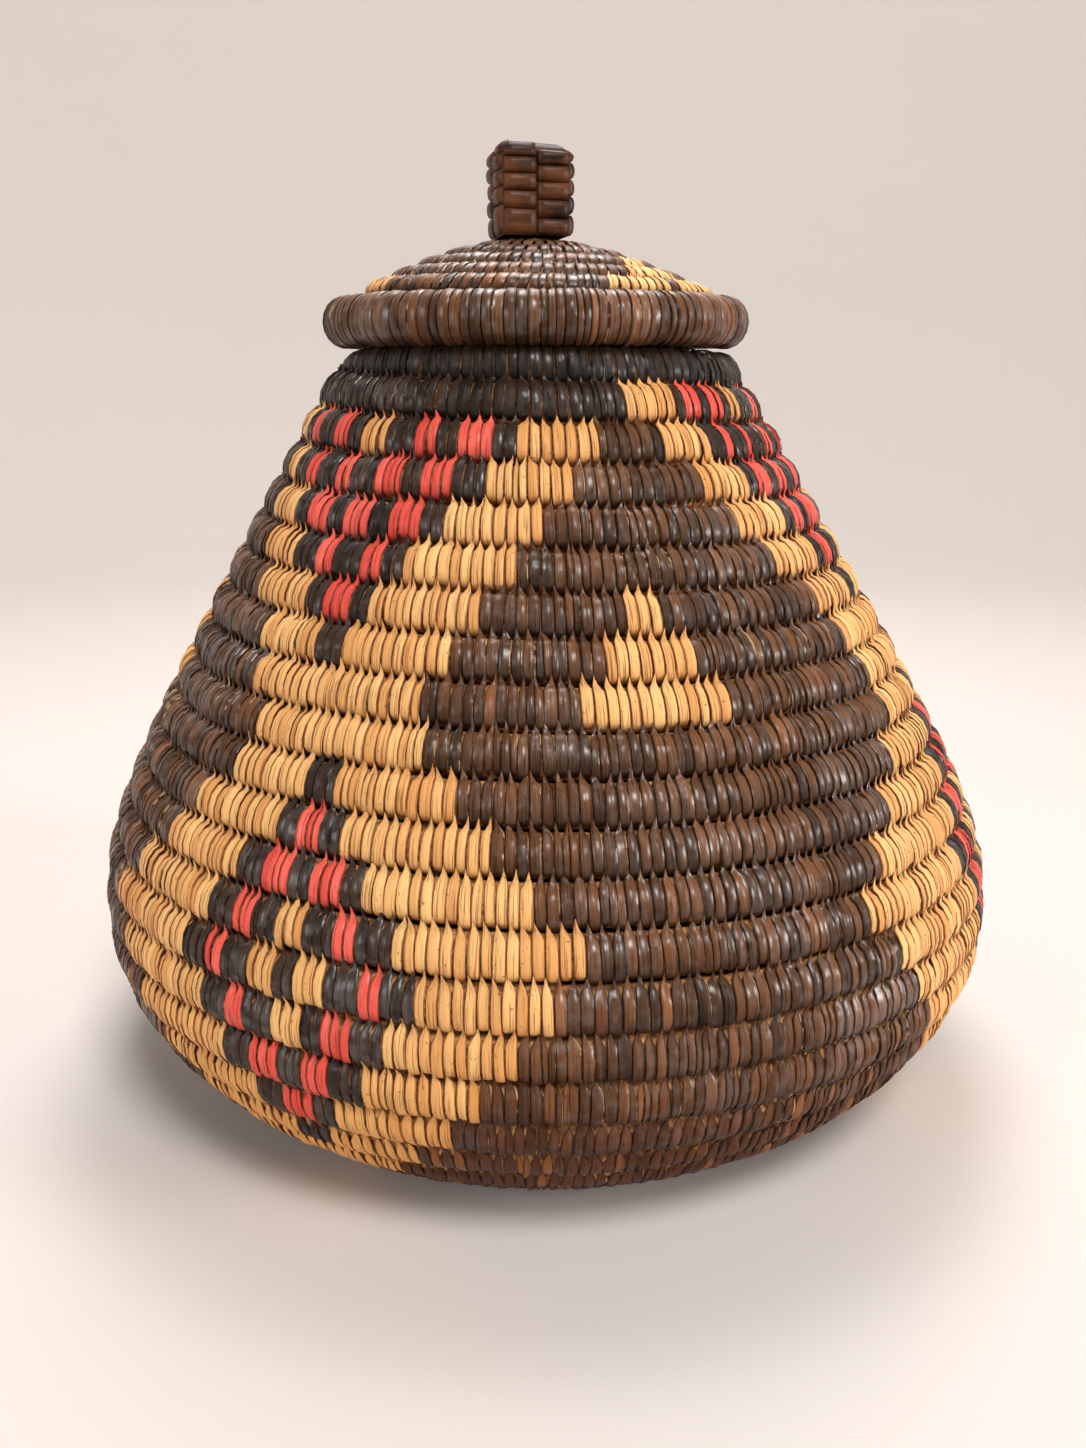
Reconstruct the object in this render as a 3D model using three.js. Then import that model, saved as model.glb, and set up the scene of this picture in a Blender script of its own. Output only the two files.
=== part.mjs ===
// Ukhamba basket with its lid: coils of wrapped grass wound in one rising spiral.
// Millimetres, +Z up. The origin is the middle of the base's underside.
// Angle 0 faces the front, which is -Y, and grows towards the right side, +X.
import * as THREE from 'three';

// Coils of the basket: the turns are counted, and the run they fill spaces them evenly
const wallTurns = 22;
const baseTurns = 6;
const baseButtonRadius = 7.5;
const coilThickness = 9.2;
const seatWidth = 3.6;
const seatGap = 0.3;
const coilCrownShare = 0.28;
const buttonCrownShare = 0.45;
const naturalTurnEvery = 3;

// Run of the basket's wall, measured to the middle of its coil
const mouthRadius = 45.9;
const mouthLead = 10;
const mouthSlope = 31.2;
const mouthToBelly = 138.3;
const bellyRadius = 113.8;
const bellyToBase = 43.7;
const baseFlatRadius = 67.4;
const shoulderFullness = 134.4;
const bellyUpperFullness = 20.9;
const bellyLowerFullness = 15;
const baseCornerFullness = 27.8;
const mouthShift = -2.7;

// Tapered end of the coil at the mouth; whole turns are counted from startAngle, the back
const tipAngle = -105;
const tipRun = 90;
const tipShare = 0.2;
const tipThicknessShare = 0.3;
const startAngle = 180;

// Lid: a dome of coil, a thick rim coil and a collar that drops into the mouth
const lidTurns = 5;
const lidButtonRadius = 5.6;
const lidThickness = 7.6;
const lidDomeHeight = 12.1;
const lidShoulderRise = 1.4;
const lidShoulderSlope = 24;
const lidCrownFullness = 14;
const lidShoulderFullness = 20;
const crownShift = -1.5;
const lidLastShare = 0.5;
const lidEndShare = 0.15;
const rimCoilHeight = 10.7;
const rimCoilThickness = 10.8;
const rimOverhang = 2.4;
const collarClearance = 1.3;
const collarThickness = 8.4;
const collarCoilHeight = 9;
const collarTurns = 2;

// Plaited knob: four strips folded over one another in a square
const knobWidth = 16.5;
const knobHeight = 21.7;
const knobFoldsPerStrip = 10;
const knobFoldDepth = 1.35;
const foldHollowShare = 0.35;
const knobTurn = 12;

// Smoothness of the model
const wallSteps = 24;
const fineRadius = 36;
const arcSteps = 3;
const seatSamples = 10;
const searchStep = 0.1;
const roundCorners = 8;

const fullTurn = 360;
const halfCorner = fullTurn / roundCorners / 2;
const rimCoilRadius = mouthRadius + rimOverhang;

const brown = { color: 0x4a3226, roughness: 0.45, metalness: 0 };
const blackBrown = { color: 0x332b28, roughness: 0.45, metalness: 0 };
const natural = { color: 0xdba25c, roughness: 0.6, metalness: 0 };
const knobBrown = { color: 0x5a3622, roughness: 0.4, metalness: 0 };

const radians = (degrees) => degrees * Math.PI / 180;

// Steps in a turn: small turns take every second one, so that corners still line up
const stepsFor = (radius) => (radius > fineRadius ? wallSteps : wallSteps / 2);

// A coil's run seen from the side: x is the distance from the axis, y is the height.
// place(length, offset) goes along the run, then square off it to the outside.
function makeRun(curves) {
  const path = new THREE.CurvePath();
  curves.forEach((curve) => path.add(curve));
  const length = path.getLength();
  const place = (along, offset) => {
    const share = THREE.MathUtils.clamp(along / length, 0, 1);
    const point = path.getPoint(share);
    const tangent = path.getTangent(share);
    return new THREE.Vector2(point.x - tangent.y * offset, point.y + tangent.x * offset);
  };
  return { length, place };
}

// The coil's cross-section: two flat seats, a rounded outside and a crowned inside.
// Each corner is a share from the first edge to the second, and a share of the thickness.
function coilSection(seatShare, flatInside) {
  const outside = [[1 - coilCrownShare, 0.5], [coilCrownShare, 0.5]];
  const flat = [[coilCrownShare, -0.5], [1 - coilCrownShare, -0.5]];
  const inside = flatInside ? flat : [[0.5, -0.5]];
  const upperSeat = [[0, seatShare], [0, -seatShare]];
  const lowerSeat = [[1, -seatShare], [1, seatShare]];
  return [...outside, ...upperSeat, ...inside, ...lowerSeat];
}

// One ring of corners at an angle; shift moves it sideways along the turn.
function coilRing(run, section, angle, edges, thickness, shift) {
  const turn = radians(angle);
  const radial = new THREE.Vector2(Math.sin(turn), -Math.cos(turn));
  const sideways = new THREE.Vector2(Math.cos(turn), Math.sin(turn));
  return section.map(([share, offset]) => {
    const along = edges[0] + (edges[1] - edges[0]) * share;
    const spot = run.place(along, offset * thickness);
    const x = radial.x * spot.x + sideways.x * shift;
    const y = radial.y * spot.x + sideways.y * shift;
    return new THREE.Vector3(x, y, spot.y);
  });
}

function geometryFrom(points, faces) {
  const geometry = new THREE.BufferGeometry();
  const positions = points.flatMap((point) => point.toArray());
  geometry.setAttribute('position', new THREE.Float32BufferAttribute(positions, 3));
  geometry.setIndex(faces);
  geometry.computeVertexNormals();
  return geometry;
}

// Joins rings of equal corner counts into a closed tube with flat ends.
function tubeFromRings(rings) {
  const count = rings[0].length;
  const points = rings.flat();
  const faces = [];
  for (let ring = 0; ring < rings.length - 1; ring += 1) {
    for (let corner = 0; corner < count; corner += 1) {
      const next = (corner + 1) % count;
      const here = ring * count;
      const there = here + count;
      faces.push(here + corner, there + corner, there + next);
      faces.push(here + corner, there + next, here + next);
    }
  }
  const last = (rings.length - 1) * count;
  for (let corner = 1; corner < count - 1; corner += 1) {
    faces.push(0, corner, corner + 1);
    faces.push(last, last + corner + 1, last + corner);
  }
  return geometryFrom(points, faces);
}

// A stretch of coil from one angle to another, with half a gap left at each end.
// edgesAt(angle) gives the two edges along the run, and thickAt(angle) the thickness.
function coilStretch(run, section, from, to, steps, edgesAt, thickAt) {
  const rings = [];
  for (let step = 0; step <= steps; step += 1) {
    const angle = from + (to - from) * step / steps;
    let shift = 0;
    if (step === 0) shift = seatGap / 2;
    if (step === steps) shift = -seatGap / 2;
    rings.push(coilRing(run, section, angle, edgesAt(angle), thickAt(angle), shift));
  }
  return tubeFromRings(rings);
}

// The wound button at a spiral's middle: a puck whose edge is the spiral itself, with
// one step where the next turn of coil begins or ends. edgeAt(angle) gives the edge and
// middle gives the axis, both along the run; facing is 1 where the outside points up.
function spiralButton(run, from, steps, edgeAt, middle, thickness, seatShare, shift, facing) {
  const points = [];
  for (let step = 0; step <= steps; step += 1) {
    const angle = from + fullTurn * step / steps;
    const edge = edgeAt(angle);
    const crown = THREE.MathUtils.lerp(edge, middle, buttonCrownShare);
    const ends = step === 0 || step === steps ? shift : 0;
    const turn = radians(angle);
    const corners = [[crown, 0.5], [edge, seatShare], [edge, -seatShare], [crown, -0.5]];
    for (const [along, offset] of corners) {
      const spot = run.place(along, offset * thickness);
      const x = Math.sin(turn) * spot.x + Math.cos(turn) * ends;
      const y = -Math.cos(turn) * spot.x + Math.sin(turn) * ends;
      points.push(new THREE.Vector3(x, y, spot.y));
    }
  }
  const outside = points.length;
  const inside = outside + 1;
  points.push(new THREE.Vector3(0, 0, run.place(middle, thickness / 2).y));
  points.push(new THREE.Vector3(0, 0, run.place(middle, -thickness / 2).y));
  const columns = steps + 1;
  const columnSize = outside / columns;
  const lowest = columnSize - 1;
  const faces = [];
  const addFace = (a, b, c) => faces.push(a, ...(facing > 0 ? [b, c] : [c, b]));
  for (let column = 0; column < columns; column += 1) {
    const here = column * columnSize;
    const there = ((column + 1) % columns) * columnSize;
    for (let row = 0; row < lowest; row += 1) {
      addFace(here + row, here + row + 1, there + row + 1);
      addFace(here + row, there + row + 1, there + row);
    }
    addFace(outside, here, there);
    addFace(inside, there + lowest, here + lowest);
  }
  return geometryFrom(points, faces);
}

function addMesh(group, name, geometry, look) {
  const mesh = new THREE.Mesh(geometry, new THREE.MeshStandardMaterial(look));
  mesh.name = name;
  group.add(mesh);
  return mesh;
}

const numbered = (name, number) => `${name}_${String(number).padStart(2, '0')}`;

// Wall run, from above the mouth coil's middle down to the middle of the base
const baseRise = coilThickness / 2;
const bellyRise = baseRise + bellyToBase;
const mouthRise = bellyRise + mouthToBelly;
const slopeOut = Math.sin(radians(mouthSlope));
const slopeDown = Math.cos(radians(mouthSlope));
const mouth = new THREE.Vector2(mouthRadius, mouthRise);
const belly = new THREE.Vector2(bellyRadius, bellyRise);
const baseCorner = new THREE.Vector2(baseFlatRadius, baseRise);
const aboveMouth = new THREE.Vector2(mouth.x - mouthLead * slopeOut, mouth.y + mouthLead * slopeDown);
const wallRun = makeRun([
  new THREE.LineCurve(aboveMouth, mouth),
  new THREE.CubicBezierCurve(
    mouth,
    new THREE.Vector2(mouth.x + shoulderFullness * slopeOut, mouth.y - shoulderFullness * slopeDown),
    new THREE.Vector2(belly.x, belly.y + bellyUpperFullness),
    belly,
  ),
  new THREE.CubicBezierCurve(
    belly,
    new THREE.Vector2(belly.x, belly.y - bellyLowerFullness),
    new THREE.Vector2(baseCorner.x + baseCornerFullness, baseRise),
    baseCorner,
  ),
  new THREE.LineCurve(baseCorner, new THREE.Vector2(0, baseRise)),
]);

// Turns from the front of the mouth coil to the base's button, and what spaces them
const wholeTurns = wallTurns + baseTurns;
const coiledLength = wallRun.length - mouthLead - baseButtonRadius;
const coilPitch = coiledLength / (wholeTurns + startAngle / fullTurn);

// At an angle counted on from the front, the coil's edges along the wall run
const wallSeat = seatWidth / 2 / coilThickness;
const tipShareAt = (angle) => {
  const share = THREE.MathUtils.smoothstep(angle, tipAngle, tipAngle + tipRun);
  return THREE.MathUtils.lerp(tipShare, 1, share);
};
const coilMiddleAt = (angle) => mouthLead + coilPitch * angle / fullTurn;
const wallEdges = (angle) => {
  const lower = coilMiddleAt(angle) + (coilPitch - seatGap) / 2;
  return [lower - (coilPitch - seatGap) * tipShareAt(angle), lower];
};
const taperedThickness = (thickness, share) => thickness * THREE.MathUtils.lerp(tipThicknessShare, 1, share);
const wallThickness = (angle) => taperedThickness(coilThickness, tipShareAt(angle));

// A lean to one side that begins at a height and reaches its full shift after a rise
function leanOver(geometry, shift, from, rise) {
  const position = geometry.getAttribute('position');
  for (let index = 0; index < position.count; index += 1) {
    const share = Math.max(0, (position.getZ(index) - from) / rise);
    position.setX(index, position.getX(index) + shift * share);
  }
  return geometry;
}

const leanWall = (geometry) => leanOver(geometry, mouthShift, bellyRise, mouthToBelly);

const roundSection = coilSection(wallSeat, false);
const flatSection = coilSection(wallSeat, true);
const isNaturalTurn = (turn) => turn % naturalTurnEvery === 1;

function addBasket(group) {
  const tipSteps = Math.round(wallSteps * (startAngle - tipAngle) / fullTurn);
  const tip = coilStretch(wallRun, roundSection, tipAngle, startAngle, tipSteps, wallEdges, wallThickness);
  addMesh(group, 'mouth_coil_end', leanWall(tip), blackBrown);
  for (let turn = 0; turn < wallTurns; turn += 1) {
    const from = startAngle + turn * fullTurn;
    const to = from + fullTurn;
    const coil = coilStretch(wallRun, roundSection, from, to, wallSteps, wallEdges, wallThickness);
    addMesh(group, numbered('wall_coil', turn + 1), leanWall(coil), isNaturalTurn(turn) ? natural : brown);
  }
  for (let turn = 0; turn < baseTurns; turn += 1) {
    const from = startAngle + (wallTurns + turn) * fullTurn;
    const to = from + fullTurn;
    const steps = stepsFor(wallRun.length - coilMiddleAt(to));
    const coil = coilStretch(wallRun, flatSection, from, to, steps, wallEdges, wallThickness);
    addMesh(group, numbered('base_coil', turn + 1), coil, brown);
  }
  const buttonStart = startAngle + wholeTurns * fullTurn;
  const edge = (angle) => coilMiddleAt(angle) - (coilPitch - seatGap) / 2;
  const middle = wallRun.length;
  const button = spiralButton(
    wallRun, buttonStart, wallSteps / 2, edge, middle, coilThickness, wallSeat, seatGap / 2, -1,
  );
  addMesh(group, 'base_button', button, brown);
}

// The lowest that the rim coil can lie, above the lid's origin, to rest on the mouth coil
function rimSeat() {
  const flat = rimCoilThickness / 2 * Math.tan(radians(halfCorner));
  const slope = rimCoilHeight / rimCoilThickness;
  const seats = [];
  for (let angle = tipAngle; angle <= startAngle; angle += fullTurn / wallSteps) {
    const ring = coilRing(wallRun, roundSection, angle, wallEdges(angle), wallThickness(angle), 0);
    ring.forEach((corner, index) => {
      const next = ring[(index + 1) % ring.length];
      for (let share = 0; share < 1; share += 1 / seatSamples) {
        const point = corner.clone().lerp(next, share);
        const away = Math.abs(Math.hypot(point.x, point.y) - rimCoilRadius) - flat;
        seats.push(point.z - mouthRise - slope * Math.max(0, away));
      }
    });
  }
  return Math.max(...seats) + seatGap;
}

// Lid run, from the middle of the dome out to the rim coil, which it meets square on
const lidSeat = seatWidth / 2 / lidThickness;
const rimMiddle = rimSeat() + rimCoilHeight / 2;
const rimReach = rimCoilThickness / 2 / Math.cos(radians(halfCorner)) + seatGap;
const shoulderDown = Math.sin(radians(lidShoulderSlope));
const shoulderOut = Math.cos(radians(lidShoulderSlope));
const shoulder = new THREE.Vector2(
  rimCoilRadius - rimReach * shoulderOut + lidShoulderRise * shoulderDown,
  rimMiddle + rimReach * shoulderDown + lidShoulderRise * shoulderOut,
);
const crown = new THREE.Vector2(0, shoulder.y + lidDomeHeight);
const lidRun = makeRun([
  new THREE.CubicBezierCurve(
    crown,
    new THREE.Vector2(lidCrownFullness, crown.y),
    new THREE.Vector2(
      shoulder.x - lidShoulderFullness * shoulderOut,
      shoulder.y + lidShoulderFullness * shoulderDown,
    ),
    shoulder,
  ),
]);
// Whole turns, and then a last one that starts at the back with a share of the width
const lidPitch = (lidRun.length - lidButtonRadius) / (lidTurns + lidLastShare);
const lidOuterEdgeAt = (angle) => lidButtonRadius + lidPitch * (1 + (angle - startAngle) / fullTurn);
const lidEdges = (angle) => {
  const outer = lidOuterEdgeAt(angle);
  return [outer - lidPitch + seatGap / 2, Math.min(outer, lidRun.length) - seatGap / 2];
};
const lidThicknessAt = (angle) => {
  const edges = lidEdges(angle);
  return taperedThickness(lidThickness, (edges[1] - edges[0]) / (lidPitch - seatGap));
};
const lidSection = coilSection(lidSeat, false);
const leanLid = (geometry) => leanOver(geometry, crownShift, shoulder.y, lidDomeHeight);

function addLidCoils(group) {
  const edge = (angle) => lidOuterEdgeAt(angle) - lidPitch - seatGap / 2;
  const button = spiralButton(
    lidRun, startAngle, wallSteps / 2, edge, 0, lidThickness, lidSeat, -seatGap / 2, 1,
  );
  addMesh(group, 'lid_button', leanLid(button), brown);
  for (let turn = 0; turn < lidTurns; turn += 1) {
    const from = startAngle + turn * fullTurn;
    const steps = stepsFor(lidOuterEdgeAt(from + fullTurn));
    const coil = coilStretch(
      lidRun, lidSection, from, from + fullTurn, steps, lidEdges, lidThicknessAt,
    );
    addMesh(group, numbered('lid_coil', turn + 1), leanLid(coil), turn % 2 ? brown : blackBrown);
  }
  const endFrom = startAngle + lidTurns * fullTurn;
  const endSteps = Math.round(wallSteps * (lidLastShare - lidEndShare));
  const endTo = endFrom + fullTurn * endSteps / wallSteps;
  const end = coilStretch(lidRun, lidSection, endFrom, endTo, endSteps, lidEdges, lidThicknessAt);
  addMesh(group, 'lid_coil_end', leanLid(end), brown);
}

// A level coil at one radius: a run straight up through its section, bent round once
function levelCoil(radius, bottom, height, thickness, section, steps) {
  const run = makeRun([
    new THREE.LineCurve(new THREE.Vector2(radius, bottom + height), new THREE.Vector2(radius, bottom)),
  ]);
  const edges = () => [0, height];
  const thick = () => thickness;
  return coilStretch(run, section, startAngle, startAngle + fullTurn, steps, edges, thick);
}

// Section of a round coil: corners with equal sides, and a flat at the top and the bottom
const roundCoilSection = [];
for (let corner = 0; corner < roundCorners; corner += 1) {
  const turn = radians(halfCorner * (1 + 2 * corner));
  const reach = 0.5 / Math.cos(radians(halfCorner));
  roundCoilSection.push([0.5 - reach * Math.sin(turn), reach * Math.cos(turn)]);
}

function addRimAndCollar(group) {
  const rim = levelCoil(
    rimCoilRadius, rimSeat(), rimCoilHeight, rimCoilThickness, roundCoilSection, wallSteps,
  );
  addMesh(group, 'lid_rim_coil', rim, brown);
  const innerMouth = wallRun.place(coilMiddleAt(0) - coilPitch / 2, -coilThickness / 2).x;
  const collarRadius = innerMouth - collarClearance - collarThickness / 2;
  const collarTop = lowestLidAt(collarRadius) - seatGap;
  for (let turn = 0; turn < collarTurns; turn += 1) {
    const bottom = collarTop - collarCoilHeight * (turn + 1) + seatGap * turn;
    const coil = levelCoil(
      collarRadius, bottom, collarCoilHeight - seatGap, collarThickness, roundCoilSection, wallSteps,
    );
    addMesh(group, numbered('lid_collar_coil', turn + 1), coil, brown);
  }
}

// Height of the lid's underside above a collar of the given radius, at its outer shoulder
function lowestLidAt(radius) {
  const reach = radius + collarThickness / 2 * Math.tan(radians(halfCorner));
  const isInside = (along) => lidRun.place(along, -lidThickness / 2).x < reach;
  let along = 0;
  while (along < lidRun.length && isInside(along)) along += searchStep;
  return lidRun.place(along, -lidThickness / 2).y;
}

// One strip of the knob, seen from the side: bars one above another, joined by
// folds that bulge out past the bars, first on one side and then on the other.
const knobLayer = knobHeight / (2 * (knobFoldsPerStrip + 1));
const stripHalf = (knobLayer - seatGap) / 2;
const foldStart = knobWidth / 2 + seatGap;

// Outside of a fold at the given height, from the lower bar up to the higher one
function foldOutside(side, middle) {
  const down = Math.min(2 * knobLayer - seatGap / 2, middle);
  const up = Math.min(2 * knobLayer - seatGap / 2, knobHeight - middle);
  const corners = [[side * foldStart, middle - knobLayer - stripHalf]];
  for (let step = -arcSteps; step <= arcSteps; step += 1) {
    const turn = Math.PI / 2 * step / arcSteps;
    const height = step < 0 ? down : up;
    corners.push([side * (foldStart + knobFoldDepth * Math.cos(turn)), middle + height * Math.sin(turn)]);
  }
  corners.push([side * foldStart, middle + knobLayer + stripHalf]);
  return corners;
}

// Inside of the same fold, where it wraps a bar of the strips that cross it
function foldInside(side, middle) {
  const half = knobLayer - stripHalf;
  const reach = foldStart + knobFoldDepth * foldHollowShare;
  return [
    [side * foldStart, middle - half],
    [side * reach, middle - half / 2],
    [side * reach, middle + half / 2],
    [side * foldStart, middle + half],
  ];
}

function knobStrip(firstLayer, firstSide) {
  const barHeight = (bar) => (firstLayer + 2 * bar + 0.5) * knobLayer;
  const foldHeight = (fold) => barHeight(fold) + knobLayer;
  const sideOf = (fold) => (fold % 2 ? -firstSide : firstSide);
  const endReach = knobWidth / 2;
  // Up one face of the strip and down the other: outside of a fold on one face is
  // inside on the other
  const up = [[-firstSide * endReach, barHeight(0) - stripHalf]];
  const down = [[-firstSide * endReach, barHeight(0) + stripHalf]];
  for (let fold = 0; fold < knobFoldsPerStrip; fold += 1) {
    const side = sideOf(fold);
    const outside = foldOutside(side, foldHeight(fold));
    const inside = foldInside(side, foldHeight(fold));
    up.push(...(side === firstSide ? outside : inside));
    down.push(...(side === firstSide ? inside : outside));
  }
  const lastSide = sideOf(knobFoldsPerStrip);
  const lastHeight = barHeight(knobFoldsPerStrip);
  up.push([lastSide * endReach, lastHeight - lastSide * firstSide * stripHalf]);
  down.push([lastSide * endReach, lastHeight + lastSide * firstSide * stripHalf]);
  const outline = [...up, ...down.reverse()].map(([x, y]) => new THREE.Vector2(x, y));
  const lane = { depth: knobWidth / 2 - seatGap / 2, bevelEnabled: false };
  const strip = new THREE.ExtrudeGeometry(new THREE.Shape(outline), lane);
  strip.rotateX(Math.PI / 2);
  strip.translate(0, -seatGap / 2, 0);
  return strip;
}

function addKnob(group) {
  // Each strip lies in one lane beside the middle; a quarter turn brings it to the next
  const strips = [
    ['knob_strip_front', 1, 1, 0],
    ['knob_strip_right', 0, -1, 90],
    ['knob_strip_back', 1, 1, 180],
    ['knob_strip_left', 0, -1, 270],
  ];
  for (const [name, firstLayer, firstSide, turn] of strips) {
    const strip = addMesh(group, name, knobStrip(firstLayer, firstSide), knobBrown);
    strip.rotation.z = radians(turn);
  }
}

const basket = new THREE.Group();
addBasket(basket);

const lid = new THREE.Group();
lid.position.set(mouthShift, 0, mouthRise);
addLidCoils(lid);
addRimAndCollar(lid);
const knob = new THREE.Group();
knob.position.set(crownShift, 0, crown.y + lidThickness / 2 + seatGap);
knob.rotation.z = radians(knobTurn);
addKnob(knob);
lid.add(knob);

const ukhamba = new THREE.Group();
ukhamba.add(basket, lid);

export default ukhamba;
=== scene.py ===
# %% [markdown]
# A lidded basket is one long coil of grass, wound in a spiral and stitched with split palm.
# Almost all that the eye sees is stitches, over six thousand, so this file builds the strips
# themselves over a plain straw core. A bump map on smooth rings would be quicker, but its
# outline would stay smooth, and the pointed tips that reach into the next row would be missing.

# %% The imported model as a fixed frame
import bisect
import math
import random

import bmesh
import bpy
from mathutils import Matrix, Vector, noise


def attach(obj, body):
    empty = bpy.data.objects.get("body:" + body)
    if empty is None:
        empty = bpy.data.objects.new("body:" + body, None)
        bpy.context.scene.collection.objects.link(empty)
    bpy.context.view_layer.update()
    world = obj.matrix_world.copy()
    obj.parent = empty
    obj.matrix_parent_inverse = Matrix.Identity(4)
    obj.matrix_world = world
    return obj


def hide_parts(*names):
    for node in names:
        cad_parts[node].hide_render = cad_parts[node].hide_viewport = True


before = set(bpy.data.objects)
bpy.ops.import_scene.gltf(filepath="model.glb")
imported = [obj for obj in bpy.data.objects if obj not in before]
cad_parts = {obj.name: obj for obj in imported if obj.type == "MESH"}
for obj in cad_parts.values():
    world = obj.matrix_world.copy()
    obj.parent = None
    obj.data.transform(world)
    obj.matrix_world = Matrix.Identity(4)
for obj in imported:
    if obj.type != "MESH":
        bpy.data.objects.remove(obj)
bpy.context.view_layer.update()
DICE_SEED = 41
dice = random.Random(DICE_SEED)
print("nodes in the frame:", len(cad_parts))

# %% [markdown]
# The wall leaves a narrow mouth, swells to a round belly and turns under to a flat base. Spun
# from its outline like a pot, it would be rings and not a coil. So only the outline is drawn
# here, in millimetres from the mouth to the middle of the base, and the coil follows it later.

# %% Sizes of the wall and its coil
MM = 0.001
FULL_TURN = 360.0
HALF_TURN = 180.0
COIL_TURNS = 28
START_ANGLE = HALF_TURN
MOUTH_LEAD = 10.0
MOUTH_RADIUS = 45.9
MOUTH_SLOPE = 31.2
MOUTH_TO_BELLY = 138.3
BELLY_RADIUS = 113.8
BELLY_TO_BASE = 43.7
BASE_FLAT_RADIUS = 67.4
BASE_BUTTON_RADIUS = 7.5
SHOULDER_FULLNESS = 134.4
BELLY_UPPER_FULLNESS = 20.9
BELLY_LOWER_FULLNESS = 15.0
BASE_CORNER_FULLNESS = 27.8
COIL_THICKNESS = 9.2

BASE_RISE = COIL_THICKNESS / 2
BELLY_RISE = BASE_RISE + BELLY_TO_BASE
MOUTH_RISE = BELLY_RISE + MOUTH_TO_BELLY
print("the first row's middle lies", round(MOUTH_RISE, 1), "mm above the ground")

# %% [markdown]
# Every row takes the same width of wall, so what counts is the distance along the outline. A
# curve object could carry it, but reading points back from one is roundabout. A small class
# notes a spot at every quarter of a millimetre, and then finds any point at once.


# %% A run: a path seen from the side, measured by length
def bezier_point(points, share):
    """A point on a straight (2 points) or curved (4 points) stretch."""
    while len(points) > 1:
        points = [a.lerp(b, share) for a, b in zip(points, points[1:])]
    return points[0]


class Run:
    """A path seen from the side: x is out from the axis and y is up, in millimetres."""

    STEP = 0.25
    FINE_SAMPLES = 600
    END_MARGIN = 1.001

    def __init__(self, stretches):
        drawn = [Vector(stretches[0][0])]
        for stretch in stretches:
            corners = [Vector(corner) for corner in stretch]
            for sample in range(1, self.FINE_SAMPLES + 1):
                drawn.append(bezier_point(corners, sample / self.FINE_SAMPLES))
        lengths = [0.0]
        for here, there in zip(drawn, drawn[1:]):
            lengths.append(lengths[-1] + (there - here).length)
        self.length = lengths[-1]
        self.spots = []
        index = 0
        for count in range(int(self.length / self.STEP) + 1):
            wanted = count * self.STEP
            while lengths[index + 1] < wanted:
                index += 1
            share = (wanted - lengths[index]) / (lengths[index + 1] - lengths[index])
            spot = drawn[index].lerp(drawn[index + 1], share)
            heading = (drawn[index + 1] - drawn[index]).normalized()
            self.spots.append((spot.x, spot.y, heading.x, heading.y))

    def place(self, along, offset):
        """The point that far along the run, then square off it to the outside."""
        count = min(max(along / self.STEP, 0.0), len(self.spots) - self.END_MARGIN)
        index = int(count)
        share = count - index
        here, there = self.spots[index], self.spots[index + 1]
        x, y, ahead_x, ahead_y = (a + (b - a) * share for a, b in zip(here, there))
        return x - ahead_y * offset, y + ahead_x * offset


# %% The wall's run, with a short lead above the mouth
slope_out = math.sin(math.radians(MOUTH_SLOPE))
slope_down = math.cos(math.radians(MOUTH_SLOPE))
mouth = (MOUTH_RADIUS, MOUTH_RISE)
belly = (BELLY_RADIUS, BELLY_RISE)
base_edge = (BASE_FLAT_RADIUS, BASE_RISE)
above_mouth = (MOUTH_RADIUS - MOUTH_LEAD * slope_out, MOUTH_RISE + MOUTH_LEAD * slope_down)
shoulder_pull = (
    MOUTH_RADIUS + SHOULDER_FULLNESS * slope_out,
    MOUTH_RISE - SHOULDER_FULLNESS * slope_down,
)
wall_run = Run([
    [above_mouth, mouth],
    [mouth, shoulder_pull, (BELLY_RADIUS, BELLY_RISE + BELLY_UPPER_FULLNESS), belly],
    [
        belly,
        (BELLY_RADIUS, BELLY_RISE - BELLY_LOWER_FULLNESS),
        (BASE_FLAT_RADIUS + BASE_CORNER_FULLNESS, BASE_RISE),
        base_edge,
    ],
    [base_edge, (0, BASE_RISE)],
])
coiled_length = wall_run.length - MOUTH_LEAD - BASE_BUTTON_RADIUS
COIL_PITCH = coiled_length / (COIL_TURNS + START_ANGLE / FULL_TURN)
print("wall run", round(wall_run.length, 2), "mm, coil pitch", round(COIL_PITCH, 3), "mm")

# %% [markdown]
# The coil starts at the mouth as a long taper, its rows waver because they are laid by hand,
# and the mouth leans to one side. A lattice could bend a finished mesh that way, but strips
# and core might part. One function that places every point of the wall knows all three.

# %% Where a point of the wall lies
MOUTH_SHIFT = -2.7
TIP_ANGLE = -105.0
TIP_RUN = 90.0
TIP_SHARE = 0.4
WAVER = 0.55
WAVER_ROUND = 2.2
WAVER_DOWN = 0.03
LEAST_DEPTH = 0.3
LEAST_RADIUS = 3.0


def taper_at(angle):
    """The coil's share of its full height: small at its tip, one after the taper."""
    share = min(max((angle - TIP_ANGLE) / TIP_RUN, 0.0), 1.0)
    return TIP_SHARE + (1 - TIP_SHARE) * share * share * (3 - 2 * share)


def depth_share(narrowed):
    """A narrowed coil gets thinner too, but keeps a part of its depth."""
    return LEAST_DEPTH + (1 - LEAST_DEPTH) * narrowed


def waver_at(angle, middle):
    """Hand-laid rows rise and fall a little, and each row follows the one below it."""
    turn = math.radians(angle)
    spot = (WAVER_ROUND * math.sin(turn), WAVER_ROUND * math.cos(turn), WAVER_DOWN * middle)
    return WAVER * noise.noise(spot)


def row_middle(angle):
    """How far down the run the middle of the coil lies."""
    return MOUTH_LEAD + COIL_PITCH * angle / FULL_TURN


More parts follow.
